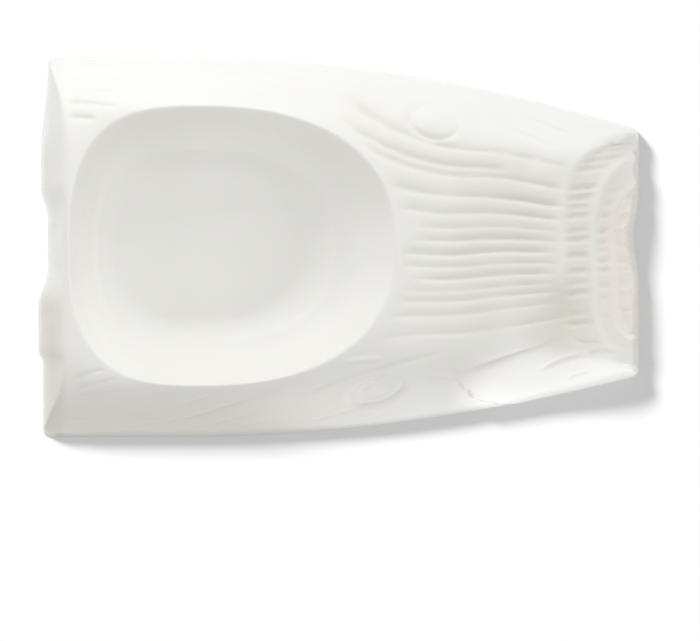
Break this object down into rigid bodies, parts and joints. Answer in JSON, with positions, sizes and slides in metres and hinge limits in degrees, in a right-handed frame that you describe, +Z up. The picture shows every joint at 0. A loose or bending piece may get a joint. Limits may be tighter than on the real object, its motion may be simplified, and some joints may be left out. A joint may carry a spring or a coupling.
{
  "type": "oyster dish",
  "caption": "White glazed porcelain serving dish shaped as a hewn half log, with a smooth oval bowl sunk into its broad end and a grained top running to a rounded end grain.",
  "frame": {"origin": "on the table, under the middle of the dish's bounding box", "axes": "+X along the log towards its narrow end grain, +Y to the back, +Z up out of the bowl"},
  "size_m": [0.24, 0.152, 0.0346],
  "materials": {
    "log_porcelain": "white porcelain under a clear gloss glaze, foot rim unglazed",
    "bowl_porcelain": "white porcelain under a clear gloss glaze"
  },
  "bodies": {
    "root": {"log_shell": "log_porcelain", "bowl": "bowl_porcelain"}
  },
  "joints": []
}
